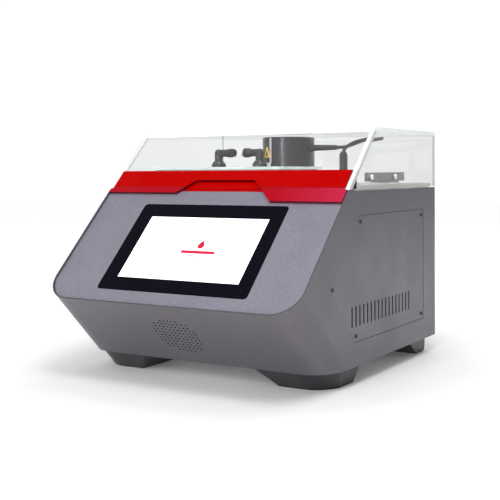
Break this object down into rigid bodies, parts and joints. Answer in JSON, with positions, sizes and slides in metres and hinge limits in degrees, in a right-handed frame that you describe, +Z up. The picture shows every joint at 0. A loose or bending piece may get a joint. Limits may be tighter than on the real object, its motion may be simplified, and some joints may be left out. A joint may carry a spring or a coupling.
{
  "type": "ultrasonic bath",
  "caption": "Benchtop ultrasonic bath with a sloping touch display, a hinged clear cover, a water bath with a motor-driven tube carousel, and rear power and cooling fittings.",
  "frame": {"origin": "on the bench, under the middle of the whole instrument's box", "axes": "+X to the right of a person facing the display, +Y to the rear, +Z up"},
  "size_m": [0.403, 0.48, 0.343],
  "materials": {
    "casing_paint": "satin metallic grey paint",
    "panel_paint": "fine metallic light grey paint",
    "display_glass": "back-printed black glass",
    "display_lit": "lit white screen",
    "red_gloss": "gloss red acrylic",
    "wing_red": "gloss red acrylic with a crimson cast",
    "clear_acrylic": "polished clear acrylic",
    "lid_acrylic": "clear acrylic with a green edge",
    "stainless": "brushed stainless steel",
    "steel": "bright zinc-plated steel",
    "aluminium_grey": "grey anodised aluminium",
    "aluminium_black": "turned and black anodised aluminium",
    "feet_plastic": "moulded dark grey plastic",
    "black_plastic": "moulded black nylon",
    "white_plastic": "moulded white plastic",
    "rim_plastic": "moulded pale grey plastic",
    "rubber": "matt black rubber",
    "board": "solder mask",
    "supply_case": "plain sheet",
    "tube_plastic": "clear moulded polypropylene",
    "hose_blue": "polyurethane tube",
    "switch_red": "moulded red",
    "speaker_cone": "black cone"
  },
  "bodies": {
    "body": {"casing": "casing_paint", "front_panel": "panel_paint", "base_plate": "stainless", "rear_panel": "casing_paint", "side_panel_left": "casing_paint", "side_panel_right": "casing_paint", "casing_screws": "aluminium_black", "front_feet": "feet_plastic", "rear_feet": "feet_plastic", "display_bezel": "display_glass", "display_screen": "display_lit", "controller_board": "board", "speaker": "speaker_cone", "trim_wing_left": "wing_red", "trim_wing_right": "wing_red", "trim_strip": "red_gloss", "deck_plate": "stainless", "deck_rim": "rim_plastic", "tank_surround": "white_plastic", "tank": "stainless", "lid_seal": "rubber", "tank_lid": "lid_acrylic", "transducers": "aluminium_grey", "motor_housing": "aluminium_black", "motor": "aluminium_grey", "cable_boot": "rubber", "motor_cable": "rubber", "connector_plug": "rubber", "connector_socket": "steel", "elbow_nuts": "black_plastic", "body_hinge_leaves": "stainless", "hinge_pins": "steel", "generator_board": "board", "power_supply": "supply_case", "fan_frame": "black_plastic", "fan_guard": "steel", "power_inlet": "black_plastic", "coolant_ports": "black_plastic", "coolant_hoses": "hose_blue"},
    "cover": {"cover_front_pane": "clear_acrylic", "cover_top_pane": "clear_acrylic", "cover_left_pane": "clear_acrylic", "cover_right_pane": "clear_acrylic", "cover_back_pane": "clear_acrylic", "cover_band": "red_gloss", "cover_bars": "aluminium_grey", "cover_bar_screws": "steel", "cover_corner_blocks": "rubber", "cover_hinge_leaves": "stainless"},
    "rotor": {"motor_shaft": "steel", "tube_carousel": "white_plastic", "sample_tubes": "tube_plastic"},
    "coupling": {"coupling_ring": "aluminium_grey"},
    "left_elbow": {"elbow_left": "black_plastic"},
    "right_elbow": {"elbow_right": "black_plastic"},
    "left_collet": {"collet_left": "black_plastic"},
    "right_collet": {"collet_right": "white_plastic"},
    "fan": {"fan_rotor": "black_plastic"},
    "switch": {"rocker_switch": "switch_red"},
    "drawer": {"fuse_drawer": "black_plastic"}
  },
  "joints": [
    {"name": "cover_hinge", "type": "hinge", "parent": "body", "child": "cover", "pos_m": [0, 0.218, 0.2585], "axis": [-1, 0, 0], "range_deg": [0, 85]},
    {"name": "carousel_spin", "type": "hinge", "parent": "body", "child": "rotor", "pos_m": [0, 0.103, 0.255], "axis": [0, 0, 1], "continuous": true},
    {"name": "coupling_ring_turn", "type": "hinge", "parent": "body", "child": "coupling", "pos_m": [0.107, 0.081, 0.275], "axis": [0, 0, 1], "range_deg": [0, 90]},
    {"name": "elbow_left_swivel", "type": "hinge", "parent": "body", "child": "left_elbow", "pos_m": [-0.099, 0.053, 0.3], "axis": [0, 0, 1], "range_deg": [-40, 40]},
    {"name": "elbow_right_swivel", "type": "hinge", "parent": "body", "child": "right_elbow", "pos_m": [-0.023, 0.053, 0.3], "axis": [0, 0, 1], "range_deg": [-40, 40]},
    {"name": "collet_left_press", "type": "slide", "parent": "left_elbow", "child": "left_collet", "axis": [-1, 0, 0], "range_m": [0, 0.0015], "stiffness_N_per_m": 400},
    {"name": "collet_right_press", "type": "slide", "parent": "right_elbow", "child": "right_collet", "axis": [1, 0, 0], "range_m": [0, 0.0015], "stiffness_N_per_m": 400},
    {"name": "fan_spin", "type": "hinge", "parent": "body", "child": "fan", "pos_m": [-0.12, 0.198, 0.092], "axis": [0, 1, 0], "continuous": true},
    {"name": "power_switch_rock", "type": "hinge", "parent": "body", "child": "switch", "pos_m": [0.14, 0.209, 0.106], "axis": [1, 0, 0], "range_deg": [-14, 0]},
    {"name": "fuse_drawer_slide", "type": "slide", "parent": "body", "child": "drawer", "axis": [0, 1, 0], "range_m": [0, 0.02]}
  ]
}
